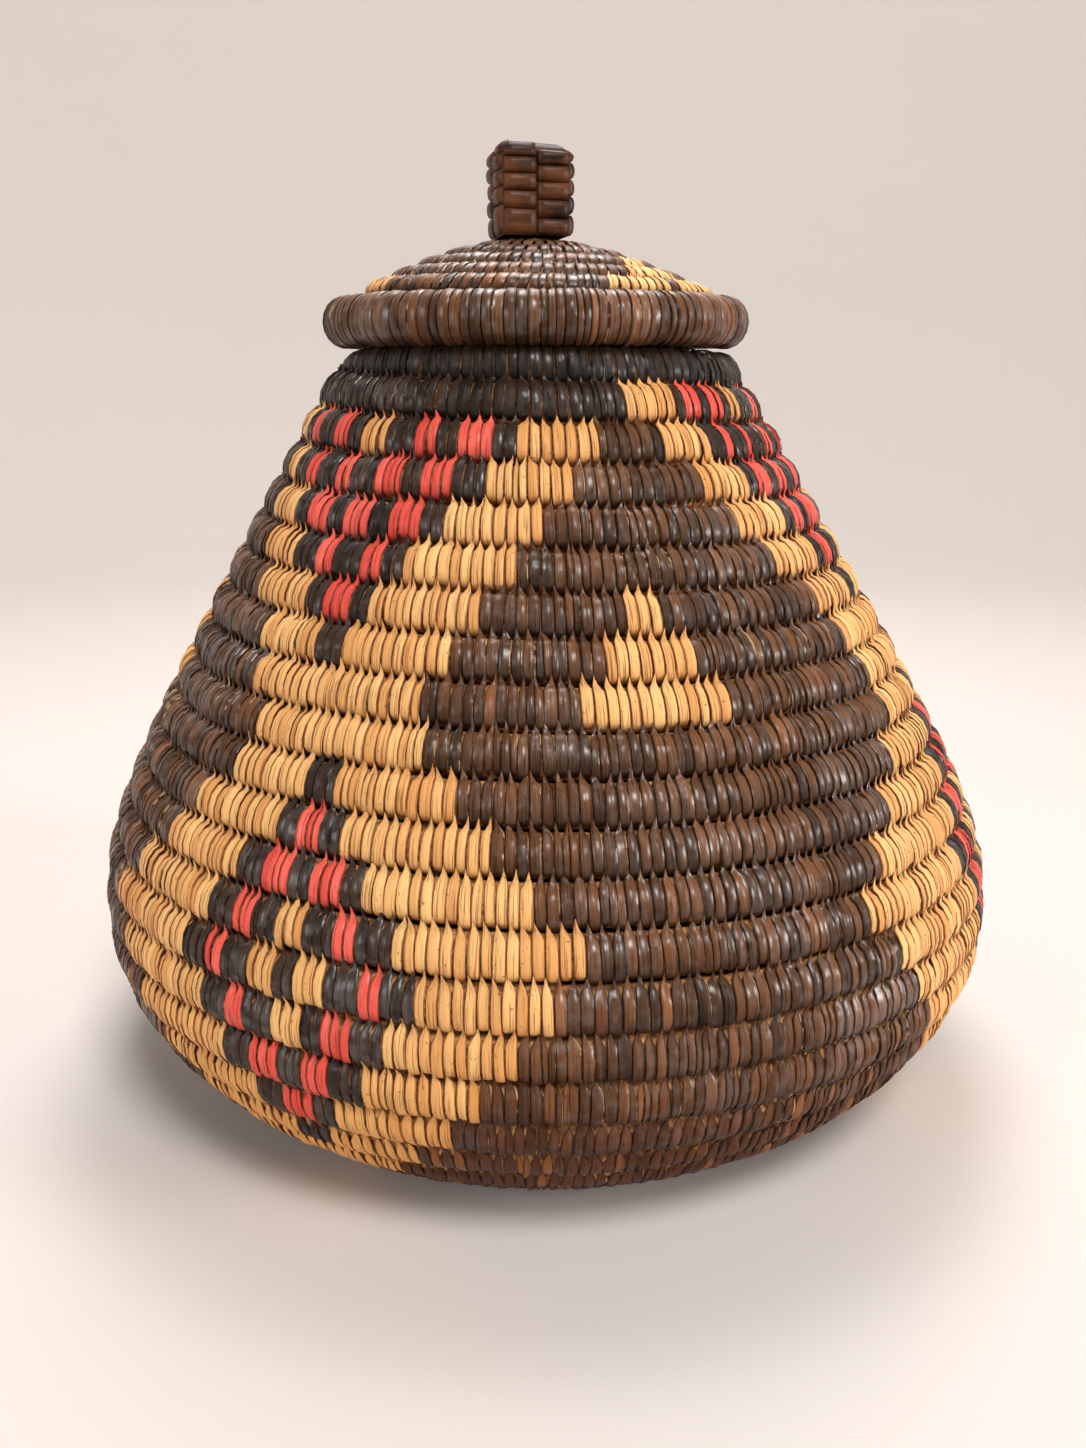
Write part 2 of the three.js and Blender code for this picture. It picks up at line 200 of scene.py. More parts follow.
def on_wall(angle, sideways, along, out):
    """A point by its angle counted on from the front, and three distances in millimetres."""
    taper = taper_at(angle)
    middle = row_middle(angle)
    middle += waver_at(angle, middle)
    lowered = (1 - taper) * COIL_PITCH / 2
    x, y = wall_run.place(middle + lowered + along * taper, out * depth_share(taper))
    turn = math.radians(angle) + sideways / max(x, LEAST_RADIUS)
    lean = MOUTH_SHIFT * max(0.0, (y - BELLY_RISE) / MOUTH_TO_BELLY)
    return Vector((math.sin(turn) * x + lean, -math.cos(turn) * x, y)) * MM


def wall_radius(angle):
    """How far the coil's middle lies from the axis."""
    return max(wall_run.place(row_middle(angle), 0)[0], LEAST_RADIUS)


for turn in (0, COIL_TURNS // 2, COIL_TURNS):
    print("turn", turn, "has a radius of", round(wall_radius(turn * FULL_TURN), 1), "mm")

# %% [markdown]
# The pattern is traditional: stepped brown diamonds, and between them a triangle above and a
# diamond below, both of nested bands of black and red. A picture wrapped round the basket
# would cut through strips. A weaver adds or drops a few stitches at each side in each row, so
# the chart here is a rule as well: half-widths in degrees at a few key rows.

# %% The pattern's sizes
BROWN_HALF_WIDTHS = [
    (2.4, 0), (3, 7.5), (7, 30), (9, 36.2), (10, 35.3), (14, 16.7), (20, 38), (24, 60),
]
BROWN_FROM_ROW = 2.5
NATURAL_PEAK_ROWS = (7, 9)
NATURAL_PEAK_OFFSET = -4.7
NATURAL_PEAK_GROWTH = 4.0
NATURAL_PEAK_START = 2.5
TRIANGLE_POINT_ROW = 8
TRIANGLE_REACH = 6
TRIANGLE_BANDS = "KRKRKN"
DIAMOND_MIDDLE_ROW = 15
DIAMOND_REACH = 4
DIAMOND_BANDS = "KRKNK"
DIAMOND_BAND_WIDTH = 3.3
# Each repeat: its triangle's point and the drift of its middle in a row, the width of its bands
# and their growth in a row, how much wider they are on the right, the middles of its diamond
# and its brown diamond, and how many rows lower it sits
REPEAT_PARTS = "triangle drift band growth right_share diamond brown lower".split()
REPEAT_SIZES = [
    (-32.3, -0.9, 4.0, 0.42, 1.0, -27.5, 20.5, 0),
    (66.8, -2.2, 4.0, 0.0, 1.65, 74.2, 118.5, -1),
    (158.0, -0.6, 3.8, 0.3, 1.0, 161.0, 205.0, -1),
    (244.0, -0.6, 4.0, 0.3, 1.0, 243.5, 282.5, 0),
]
REPEATS = [dict(zip(REPEAT_PARTS, sizes)) for sizes in REPEAT_SIZES]
print("repeats of the pattern:", len(REPEATS))


# %% The shapes of the pattern
def between_keys(keys, value):
    """The straight-line value between the two nearest keys."""
    if value <= keys[0][0]:
        return keys[0][1]
    for (low, start), (high, end) in zip(keys, keys[1:]):
        if value <= high:
            return start + (end - start) * (value - low) / (high - low)
    return keys[-1][1]


def band_letter(bands, steps, from_middle, width):
    """Bands are counted inwards from the outer edge, half a band left at the middle."""
    half = (steps + 0.5) * width
    if abs(from_middle) > half:
        return None
    inward = int((half - abs(from_middle)) / width)
    return bands[min(inward, len(bands) - 1)]


def brown_letter(own_row, from_middle):
    """The stepped brown diamond, with a small natural peak inside."""
    half = between_keys(BROWN_HALF_WIDTHS, own_row)
    if own_row <= BROWN_FROM_ROW or abs(from_middle) >= half:
        return None
    first, last = NATURAL_PEAK_ROWS
    peak = NATURAL_PEAK_START + NATURAL_PEAK_GROWTH * (own_row - first)
    in_peak = abs(from_middle - NATURAL_PEAK_OFFSET) < peak
    return "N" if in_peak and first <= own_row <= last else "B"


def triangle_letter(repeat, own_row, turned):
    """Nested bands that narrow downwards to a point."""
    steps = TRIANGLE_POINT_ROW - own_row
    if not 0 <= steps <= TRIANGLE_REACH:
        return None
    from_middle = turned - repeat["triangle"] - repeat["drift"] * steps
    if from_middle > 0:
        from_middle /= repeat["right_share"]
    width = repeat["band"] + repeat["growth"] * steps
    return band_letter(TRIANGLE_BANDS, steps, from_middle, width)


def diamond_letter(repeat, own_row, turned):
    """Nested bands that narrow both ways from a middle row."""
    steps = DIAMOND_REACH - abs(own_row - DIAMOND_MIDDLE_ROW)
    if steps < 0:
        return None
    return band_letter(DIAMOND_BANDS, steps, turned - repeat["diamond"], DIAMOND_BAND_WIDTH)


# %% The chart, read by row and by angle
BORDER_END_ANGLE = 379.8
LAST_CHART_ROW = 22
TAN_CHANCES = [(8, 0.02), (16, 0.05), (20, 0.1)]


def chart_letter(row, turned):
    """N natural, B brown, K black or R red, for a row and an angle from -180 to 180."""
    for repeat in REPEATS:
        for wrap, row_shift in ((0, 0), (FULL_TURN, 1)):
            own_row = row - repeat["lower"] - row_shift
            own_turned = turned + wrap
            letter = brown_letter(own_row, own_turned - repeat["brown"])
            letter = letter or triangle_letter(repeat, own_row, own_turned)
            letter = letter or diamond_letter(repeat, own_row, own_turned)
            if letter:
                return letter
    return "N"


def wall_letter(angle):
    """The colour at an angle counted on along the whole coil, with T tan among the brown."""
    if angle < BORDER_END_ANGLE:
        return "K"
    row = round(angle / FULL_TURN) + 1
    turned = angle - (row - 1) * FULL_TURN
    letter = "B" if row > LAST_CHART_ROW else chart_letter(row, turned)
    tan_chance = between_keys(TAN_CHANCES, row)
    return "T" if letter == "B" and dice.random() < tan_chance else letter


SHOWN_ROWS = range(2, 21)
SHOWN_ANGLES = range(-84, 85, 4)
for row in SHOWN_ROWS:
    print("".join(chart_letter(row, turned) for turned in SHOWN_ANGLES))

# %% [markdown]
# Split palm is never even: most strips are a little over 2 mm wide, and now and then a few thin
# ones lie side by side. An array of copies would look machine-made. Laying strip after strip
# gives the uneven rhythm, and keeps count of the edges that the tips of the next row look for.

# %% Laying the strips along the coil
STRIP_WIDTH = 2.45
STRIP_SPREAD = 0.3
THIN_STRIP_WIDTH = 1.55
THIN_GROUP_CHANCE = 0.06
THIN_GROUPS = (2, 3, 4)


def lay_strips(first, last, radius_at, letter_at, usual_width=STRIP_WIDTH):
    """One strip after another along a coil: (middle angle, width in mm, letter)."""
    strips = []
    angle = first
    thin_left = 0
    while angle < last:
        if thin_left == 0 and dice.random() < THIN_GROUP_CHANCE:
            thin_left = dice.choice(THIN_GROUPS)
        width = THIN_STRIP_WIDTH if thin_left else usual_width
        thin_left = max(0, thin_left - 1)
        width += dice.uniform(-STRIP_SPREAD, STRIP_SPREAD)
        step = math.degrees(width / radius_at(angle))
        strips.append((angle + step / 2, width, letter_at(angle + step / 2)))
        angle += step
    return strips


FIRST_STRIP_LAG = 4.0
BUTTON_ANGLE = 250.0
wall_end = FULL_TURN * COIL_TURNS + START_ANGLE + BUTTON_ANGLE
wall_strips = lay_strips(TIP_ANGLE + FIRST_STRIP_LAG, wall_end, wall_radius, wall_letter)
print("strips on the basket:", len(wall_strips))

# %% [markdown]
# A stitch comes out under its row, runs up over the coil and ends in a point between two
# stitches of the row above. Instances of one strip would all be alike, and the coil bends each
# one differently. Here a lot of strips starts as one flat bmesh grid. Deleting every fifth
# column of faces leaves strips of four faces across, and each vertex moves to its place on the
# coil. The whole part of a UV coordinate is the strip's number, which gives it its own tone.

# %% Shapes of the strips, each from its lower end upwards: down, out, share of the width
STITCH = [
    (4.9, 1.3, 0.5), (4.6, 2.4, 0.84), (3.8, 3.45, 0.99), (1.7, 4.25, 1.02), (-1.0, 4.35, 1.02),
    (-3.2, 3.6, 0.98), (-4.2, 2.75, 0.76), (-5.2, 2.75, 0.4), (-6.8, 3.75, 0.02),
]
LOW_STITCH = [
    (4.5, 1.6, 0.5), (4.2, 2.7, 0.84), (3.4, 3.55, 0.98), (1.5, 4.2, 1.01), (-0.8, 4.3, 1.01),
    (-2.6, 3.85, 0.95), (-3.8, 3.2, 0.66), (-4.8, 3.0, 0.34), (-6.4, 3.55, 0.02),
]
INSIDE_STITCH = [
    (-4.9, -2.4, 0.5), (-3.2, -3.7, 1.0), (0, -4.25, 1.0), (3.2, -3.7, 1.0), (4.9, -2.4, 0.5),
]
MOUTH_WRAP = [
    (5.2, 1.9, 0.9), (4.4, 3.0, 1.0), (2.6, 3.95, 1.0), (0, 4.25, 1.0), (-2.6, 3.75, 1.0),
    (-4.3, 2.2, 1.0), (-4.9, 0, 1.0), (-4.3, -2.2, 1.0), (-2.6, -3.75, 1.0), (1.0, -4.2, 1.0),
    (4.6, -2.6, 0.9),
]
# Across a strip: where its five lines of vertices lie, and how high each stands
STRIP_LINES = [(-1.0, 0.0), (-0.84, 0.68), (0.0, 1.0), (0.84, 0.68), (1.0, 0.0)]
STRIP_COLUMNS = len(STRIP_LINES) - 1
TIP_ROOT = 6
TIP_STARTS = 0.62
STRIP_CROWN = 0.38


def strip_corner(strip, shape, row, column):
    """Where a corner of a strip goes: sideways, along and out, in millimetres."""
    down, out, wide = shape[row]
    if row > TIP_ROOT and strip["reach"] != 1:
        root_down, root_out, _ = shape[TIP_ROOT]
        down = root_down + (down - root_down) * strip["reach"]
        out = root_out + (out - root_out) * strip["reach"]
    across, stand = STRIP_LINES[column]
    height = row / (len(shape) - 1)
    tip = max(0.0, height - TIP_STARTS) / (1 - TIP_STARTS)
    sideways = across * wide * strip["width"] * strip["closeness"] / 2
    sideways += strip["slant"] * (height - 0.5) + strip["tip"] * tip
    rise = STRIP_CROWN * stand + strip["lift"] + strip["tilt"] * across
    raised = (out + math.copysign(rise, out)) * strip["fullness"]
    return sideways, down + strip["drop"], raised


# %% Cutting one grid into a lot of strips
UV_MARGIN = 0.05


def grid_line(position, lines):
    """Which line of a grid a vertex lies on, for a position from -1 to 1."""
    return round((position + 1) / 2 * lines)


def strip_grid(strips, shape, place):
    """A bmesh of separate strips: one grid, cut into strips and laid on a coil."""
    strip_span = STRIP_COLUMNS + 1
    columns = strip_span * len(strips) - 1
    rows = len(shape) - 1
    grid = bmesh.new()
    uv_layer = grid.loops.layers.uv.new("strip")
    bmesh.ops.create_grid(grid, x_segments=columns, y_segments=rows, size=1)
    address = {}
    for vertex in grid.verts:
        number, column = divmod(grid_line(vertex.co.x, columns), strip_span)
        address[vertex] = (number, column, grid_line(vertex.co.y, rows))
    spare = [face for face in grid.faces if len({address[v][0] for v in face.verts}) > 1]
    bmesh.ops.delete(grid, geom=spare, context="FACES")
    for face in grid.faces:
        for loop in face.loops:
            number, column, row = address[loop.vert]
            across = UV_MARGIN + (1 - 2 * UV_MARGIN) * (STRIP_LINES[column][0] + 1) / 2
            loop[uv_layer].uv = (strips[number]["number"] + across, row / rows)
        first_column = min(address[vertex][1] for vertex in face.verts)
        face.smooth = 0 < first_column < STRIP_COLUMNS - 1
    for vertex in grid.verts:
        number, column, row = address[vertex]
        strip = strips[number]
        vertex.co = place(strip["angle"], *strip_corner(strip, shape, row, column))
    return grid


# %% Joining the parts of a piece
def new_object(name, data):
    """Puts a mesh, lamp or camera into the scene."""
    made = bpy.data.objects.new(name, data)
    bpy.context.scene.collection.objects.link(made)
    return made


def smoothed(shape):
    """Shades all faces of a bmesh smoothly."""
    for face in shape.faces:
        face.smooth = True
    return shape


def mesh_of(name, parts):
    """Joins bmeshes into one mesh object at the origin."""
    whole = bmesh.new()
    for part in parts:
        loose = bpy.data.meshes.new("part")
        part.to_mesh(loose)
        part.free()
        whole.from_mesh(loose)
        bpy.data.meshes.remove(loose)
    mesh = bpy.data.meshes.new(name)
    whole.to_mesh(mesh)
    whole.free()
    triangles = sum(len(polygon.vertices) - 2 for polygon in mesh.polygons)
    print(name, triangles, "triangles")
    return new_object(name, mesh)


# %% [markdown]
# A stitch goes down between two stitches of the row below, so a tip shows in the gap between
# the rounded ends above it. Straight tips would miss it. Each strip looks up the nearest gap
# in the row above and leans its tip that way, by 0.8 mm at most. It also gets small
# differences of its own. Near the base the strips are rubbed, and lie flatter.

# %% Character of each strip
MOST_TIP_LEAN = 0.8
SLANT_SPREAD = 0.45
LIFT_SPREAD = 0.15
DROP_SPREAD = 0.45
TILT_SPREAD = 0.3
CLOSEST = 1.03
LOOSEST = 0.87
FLAT_FROM_ROW = 16
FLAT_BY_ROW = 22
FLAT_FULLNESS = 0.93
TIP_REACHES = [(2, 0.5), (4, 0.62), (8, 0.95), (22, 1.0)]
REACH_SPREAD = 0.12


def with_character(strips, radius_at, slant=0.0, flatten=True):
    """Strips as dictionaries, each a little different."""
    edges = [angle for angle, width, letter in strips]
    finished = []
    for number, (angle, width, letter) in enumerate(strips):
        above = bisect.bisect(edges, angle - FULL_TURN)
        lean = 0.0
        if 0 < above < len(edges):
            gap = (edges[above - 1] + edges[above]) / 2 + FULL_TURN
            lean = math.radians(gap - angle) * radius_at(angle)
        row = angle / FULL_TURN + 1
        flatness = min(max((row - FLAT_FROM_ROW) / (FLAT_BY_ROW - FLAT_FROM_ROW), 0), 1)
        fullness = 1 - (1 - FLAT_FULLNESS) * flatness if flatten else 1.0
        reach = between_keys(TIP_REACHES, row) + dice.uniform(-REACH_SPREAD, REACH_SPREAD)
        finished.append({
            "number": number, "angle": angle, "width": width, "letter": letter,
            "tip": min(max(lean, -MOST_TIP_LEAN), MOST_TIP_LEAN),
            "slant": slant + dice.uniform(-SLANT_SPREAD, SLANT_SPREAD),
            "lift": dice.uniform(-LIFT_SPREAD, LIFT_SPREAD),
            "drop": dice.uniform(-DROP_SPREAD, DROP_SPREAD),
            "tilt": dice.uniform(-TILT_SPREAD, TILT_SPREAD),
            "closeness": dice.uniform(LOOSEST, CLOSEST),
            "fullness": fullness,
            "reach": reach if flatten else 1.0,
        })
    return finished


# %% [markdown]
# Finishes can be wired in the node editor, but in a script shader maths reads best as plain
# expressions. A class wraps an output socket and turns +, - and * into Math nodes, and
# one method adds any other node.


# %% Finishes built from nodes
def linear(red, green, blue):
    """A colour as seen on a screen, 0 to 255, as the linear values that Blender uses."""
    shares = [value / 255 for value in (red, green, blue)]
    bent = [s / 12.92 if s <= 0.04045 else ((s + 0.055) / 1.055) ** 2.4 for s in shares]
    return (*bent, 1.0)


class Wire:
    """An output socket of a finish, with arithmetic."""

    def __init__(self, finish, socket):
        self.finish = finish
        self.socket = socket

    def maths(self, operation, first, second):
        return self.finish.node("ShaderNodeMath", {"operation": operation}, {0: first, 1: second})

    def __add__(self, other):
        return self.maths("ADD", self, other)

    __radd__ = __add__

    def __sub__(self, other):
        return self.maths("SUBTRACT", self, other)

    def __rsub__(self, other):
        return self.maths("SUBTRACT", other, self)

    def __mul__(self, other):
        return self.maths("MULTIPLY", self, other)

    __rmul__ = __mul__


class Finish:
    """A material under construction: constants on the shader's sockets, and its nodes."""

    OBJECT_OUTPUT = 3

    def __init__(self, name, **constants):
        self.material = bpy.data.materials.new(name)
        self.material.use_nodes = True
        self.tree = self.material.node_tree
        self.surface = self.tree.nodes["Principled BSDF"]
        for socket, value in constants.items():
            self.surface.inputs[socket.replace("_", " ")].default_value = value
        print("finish:", name)

    def put(self, socket, value):
        """Links a wire to a socket, or sets a plain value on it."""
        if isinstance(value, Wire):
            self.tree.links.new(value.socket, socket)
        else:
            socket.default_value = value

    def node(self, kind, settings=None, inputs=None, output=0):
        """Adds a node, its settings first and its inputs after them."""
        made = self.tree.nodes.new(kind)
        for setting, value in (settings or {}).items():
            setattr(made, setting, value)
        for name, value in (inputs or {}).items():
            self.put(made.inputs[name], value)
        return Wire(self, made.outputs[output])

    def place(self):
        """Where a point lies on the piece, in metres."""
        return self.node("ShaderNodeTexCoord", output=self.OBJECT_OUTPUT)

    def speckle(self, vector, scale, detail):
        inputs = {"Vector": vector, "Scale": scale, "Detail": detail}
        return self.node("ShaderNodeTexNoise", inputs=inputs)

    def chance(self, number):
        """A number from 0 to 1 that is the same all over one strip."""
        return self.node("ShaderNodeTexWhiteNoise", {"noise_dimensions": "1D"}, {"W": number})

    def blend(self, factor, first, second):
        settings = {"data_type": "RGBA"}
        inputs = {"Factor": factor, 6: first, 7: second}
        return self.node("ShaderNodeMix", settings, inputs, output=2)

    def between(self, value, low, high):
        """Zero at low, one at high and smooth in between, also where high is the smaller."""
        settings = {"interpolation_type": "SMOOTHSTEP"}
        inputs = {"Value": value, "From Min": low, "From Max": high}
        return self.node("ShaderNodeMapRange", settings, inputs)

    def drive(self, socket, value):
        self.put(self.surface.inputs[socket], value)

    def emboss(self, height, strength, distance):
        bump_inputs = {"Height": height, "Strength": strength, "Distance": distance}
        self.drive("Normal", self.node("ShaderNodeBump", inputs=bump_inputs))


# %% [markdown]
# Split palm has fine fibres along its length, a darker cut edge on each side and tiny specks,
# and dye hides none of it. A picture of palm would repeat and could not follow every strip.
# The five colours are one recipe with different tones, and a gloss where hands have rubbed.
# Light and shade are painted into the colour as well. The dark cut edges are partly painted
# shade of the gaps between strips. Each strip darkens with painted shade towards its lower end,
# in the crevice under its row. The dome is lighter for its wear and for painted light from
# above, and the lowest rows turn warmer and darker with painted warm light and shade.

# %% Markings of a palm strip: sizes, where each begins and ends, and strength
BARE_PALM = (232, 184, 128)
FIBRES_ACROSS = 9.0
FIBRES_ALONG = 1.6
# The lowest rows take the low tone: painted warm light and shade near the floor
LOW_LEVELS = (0.062, 0.015)
# Above the mouth the colour is lighter: partly the dome's wear, partly painted light from above and
# painted highlights
WEAR_AND_TOP_LIGHT_LEVELS = (0.199, 0.204)
CREASE_LEVELS = (0.36, 0.44)
# The dark cut edges stand partly for painted shade in the gaps between strips
CUT_EDGE_AND_GAP_SHADE_LEVELS = (0.35, 0.43)
BARE_STRIPS = (0.8, 0.82)
BARE_SIDE = (0.88, 0.9)
BARE_DENTS = (0.46, 0.54)
SPECK_LEVELS = (0.70, 0.76)
HANDLED_LEVELS = (0.44, 0.6)
# Painted shade: each strip darkens towards its lower end, in the crevice under its row
PAINTED_SHADE_FROM = 0.02
PAINTED_SHADE_SHARE = 0.85
CREASE_SHARE = 0.6
SPECK_SHARE = 0.6
TONE_SHARE = 0.6
FIBRE_SHARE = 0.45
PATCH_SHARE = 0.4
WEAR_AND_TOP_LIGHT_SHARE = 0.32
DARKENING = 0.22
LOW_SHARE = 0.5
LOW_SPREAD = 0.35
ROUGH_PATCHES = 0.25
ROUGH_DUST = 0.2
ROUGH_MIDDLE = 0.12


# %% Palm strip finish
def palm_finish(name, dark, light, edge, low_tone, roughness, coat, edge_and_gap_shade_share, bare_share, painted_shade_top):
    """One recipe for every colour of palm, from the strip map and the place on the basket."""
    # edge is the dark cut edge tone, used for creases and specks and as the colour of the painted
    # shade
    dark, light, edge, low_tone = (linear(*tone) for tone in (dark, light, edge, low_tone))
    finish = Finish(name, Coat_Roughness=0.32, Coat_IOR=1.65, Specular_IOR_Level=0.2)
    strip_map = finish.node("ShaderNodeUVMap", {"uv_map": "strip"})
    across_all = finish.node("ShaderNodeSeparateXYZ", inputs={0: strip_map}, output=0)
    height = finish.node("ShaderNodeSeparateXYZ", inputs={0: strip_map}, output=1)
    number = finish.node("ShaderNodeMath", {"operation": "FLOOR"}, {0: across_all})
    across = across_all - number
    tone = finish.chance(number)
    fibre_inputs = {0: across_all * FIBRES_ACROSS, 1: height * FIBRES_ALONG}
    along_fibres = finish.node("ShaderNodeCombineXYZ", inputs=fibre_inputs)
    fibre = finish.speckle(along_fibres, scale=1.0, detail=5.0)
    crease = finish.between(fibre, *CREASE_LEVELS)
    place = finish.place()
    patches = finish.speckle(place, scale=45.0, detail=3.0)
    dents = finish.speckle(place, scale=380.0, detail=2.0)
    specks = finish.speckle(place, scale=1100.0, detail=1.0)
    level = finish.node("ShaderNodeSeparateXYZ", inputs={0: place}, output=2)
    # Towards the base the colour turns to the low tone, warmer and darker: painted warm light and
    # shade near the floor; gloss and roughness change there too
    lowness = finish.between(level, *LOW_LEVELS)
    # The dome turns lighter: partly its wear, partly painted light from above and painted highlights;
    # its added gloss is wear
    wear_and_top_light = finish.between(level, *WEAR_AND_TOP_LIGHT_LEVELS)
    lightness = tone * TONE_SHARE + fibre * FIBRE_SHARE + patches * PATCH_SHARE
    usual = finish.blend(lightness + wear_and_top_light * WEAR_AND_TOP_LIGHT_SHARE - DARKENING, dark, light)
    body = finish.blend(lowness * (tone * LOW_SPREAD + LOW_SHARE), usual, low_tone)
    from_middle = finish.node("ShaderNodeMath", {"operation": "ABSOLUTE"}, {0: across - 0.5})
    # Dark cut edges on both sides: partly the palm's own cut edge, partly painted shade of the gaps
    # between strips
    cut_edge_and_gap_shade = finish.between(from_middle, *CUT_EDGE_AND_GAP_SHADE_LEVELS)
    creased = finish.blend((1 - crease) * CREASE_SHARE, body, edge)
    edge_and_gap_shaded = finish.blend(cut_edge_and_gap_shade * edge_and_gap_shade_share, creased, edge)
    picked = finish.chance(number + 0.5)
    bare = finish.between(picked, *BARE_STRIPS) * finish.between(across, *BARE_SIDE)
    bare_spots = bare * finish.between(dents, *BARE_DENTS) * bare_share
    bared = finish.blend(bare_spots, edge_and_gap_shaded, linear(*BARE_PALM))
    speck = finish.between(specks, *SPECK_LEVELS)
    specked = finish.blend(speck * SPECK_SHARE, bared, edge)
    # Painted shade: darker towards each strip's lower end, in the crevice under its row and on the
    # rim's lower half, where the coat fades too
    painted_shade = 1 - finish.between(height, PAINTED_SHADE_FROM, painted_shade_top)
    finish.drive("Base Color", finish.blend(painted_shade * PAINTED_SHADE_SHARE, specked, edge))
    uneven = patches * ROUGH_PATCHES + lowness * ROUGH_DUST
    finish.drive("Roughness", uneven + (roughness - ROUGH_MIDDLE))
    handled = finish.between(patches * 0.45 + dents * 0.55, *HANDLED_LEVELS)
    glossy = (handled + wear_and_top_light * 0.5) * (1 - lowness * 0.9) * (1 - painted_shade)
    finish.drive("Coat Weight", glossy * coat)
    finish.emboss(fibre + crease * 0.6 + dents * 0.9, strength=0.6, distance=0.0004)
    return finish.material


# %% The five colours of palm
PALM_WORDS = {"N": "natural", "B": "brown", "K": "black", "R": "red", "T": "tan"}
# For each colour: its dark, light, cut edge and low tones, its roughness and coat, how strong
# its cut edge and its bare side are, and how far up the painted shade at the lower end goes.
# The cut edge tone also colours the painted shade. The cut edge is partly painted shade of the
# gaps between strips, and the low tone is painted warm light and shade near the floor
PALM_RECIPES = {
    "N": ((206, 135, 70), (246, 197, 128), (108, 48, 14), (222, 156, 84), 0.5, 0.12, 0.8, 0.0, 0.34),
    "B": ((26, 14, 7), (126, 80, 46), (8, 5, 3), (80, 34, 8), 0.42, 0.95, 0.8, 0.8, 0.58),
    "K": ((17, 12, 9), (68, 48, 35), (7, 5, 4), (64, 48, 38), 0.44, 0.85, 0.7, 0.12, 0.42),
    "R": ((206, 53, 42), (251, 110, 92), (92, 14, 10), (206, 62, 48), 0.45, 0.3, 0.75, 0.2, 0.38),
    "T": ((80, 44, 23), (154, 98, 58), (36, 20, 11), (140, 82, 42), 0.4, 0.7, 0.7, 0.5, 0.52),
}
palm = {
    letter: palm_finish(f"{word}_palm", *PALM_RECIPES[letter])
    for letter, word in PALM_WORDS.items()
}

# %% [markdown]
# The grass inside shows only as thin lines between strips. It could be thousands of stalks,
# but nobody would see them, so a noise of straw tones with a little relief is enough.

# %% Straw finish of the core, seen in the gaps
STRAW_DARK = (116, 66, 32)
STRAW_LIGHT = (240, 176, 108)
STRAW_LEVELS = (0.4, 0.7)
straw = Finish("straw_core", Roughness=0.75)
straw_place = straw.place()
grass = straw.speckle(straw_place, scale=700.0, detail=3.0)
shade = straw.speckle(straw_place, scale=60.0, detail=2.0)
straw_mix = straw.between(grass * 0.6 + shade * 0.4, *STRAW_LEVELS)
straw.drive("Base Color", straw.blend(straw_mix, linear(*STRAW_DARK), linear(*STRAW_LIGHT)))
straw.emboss(grass, strength=0.5, distance=0.0004)

# %% [markdown]
# The strips of each colour become one piece. One grid could hold them all, but bmesh slows
# down as a grid grows, so a piece is built in lots of a few hundred strips and then joined.
# The first turn is wrapped all round with close strips without tips, and the lowest rows have
# a flatter stitch.

# %% Strips on the basket's wall
LOT = 220
WRAP_END_ANGLE = 250.0
LOW_ANGLE = 17 * FULL_TURN
CLOSE_WRAP = 1.0


def strip_pieces(name, strips, shapes, place, body):
    """One piece for each colour: the strips given, in each of the shapes given."""
    for letter, word in PALM_WORDS.items():
        own = [strip for strip in strips if strip["letter"] == letter]
        parts = []
        for shape in shapes:
            for start in range(0, len(own), LOT):
                parts.append(strip_grid(own[start:start + LOT], shape, place))
        if parts:
            piece = mesh_of(f"{word}_{name}", parts)
            piece.data.materials.append(palm[letter])
            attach(piece, body)


wall_character = with_character(wall_strips, wall_radius)
mouth_strips = [strip for strip in wall_character if strip["angle"] < WRAP_END_ANGLE]
stitched = [strip for strip in wall_character if strip["angle"] >= WRAP_END_ANGLE]
for strip in mouth_strips:
    strip["tip"] = 0.0
    strip["closeness"] = max(strip["closeness"], CLOSE_WRAP)
high_strips = [strip for strip in stitched if strip["angle"] < LOW_ANGLE]
low_strips = [strip for strip in stitched if strip["angle"] >= LOW_ANGLE]
strip_pieces("mouth_wraps", mouth_strips, [MOUTH_WRAP], on_wall, "basket")
strip_pieces("wall_strips", high_strips, [STITCH], on_wall, "basket")
strip_pieces("low_strips", low_strips, [LOW_STITCH], on_wall, "basket")
strip_pieces("inside_strips", stitched, [INSIDE_STITCH], on_wall, "basket")

# %% [markdown]
# Under the strips lies the bundle of grass itself. A curve with a round bevel could make it,
# but its section could not follow the taper and the waver. So a circle of ten vertices is
# extruded step by step along the spiral, and its ends are filled.

# %% The coil's core
CORE_CORNERS = 10
CORE_STEP = 6.0
CORE_LOT_TURNS = 2
CORE_HALF_HEIGHT = 4.8
LOW_CORE_HALF_HEIGHT = 5.5
CORE_HALF_DEPTH = 3.95
BASKET_NODES = ("wall_coil", "base_coil", "mouth_coil")


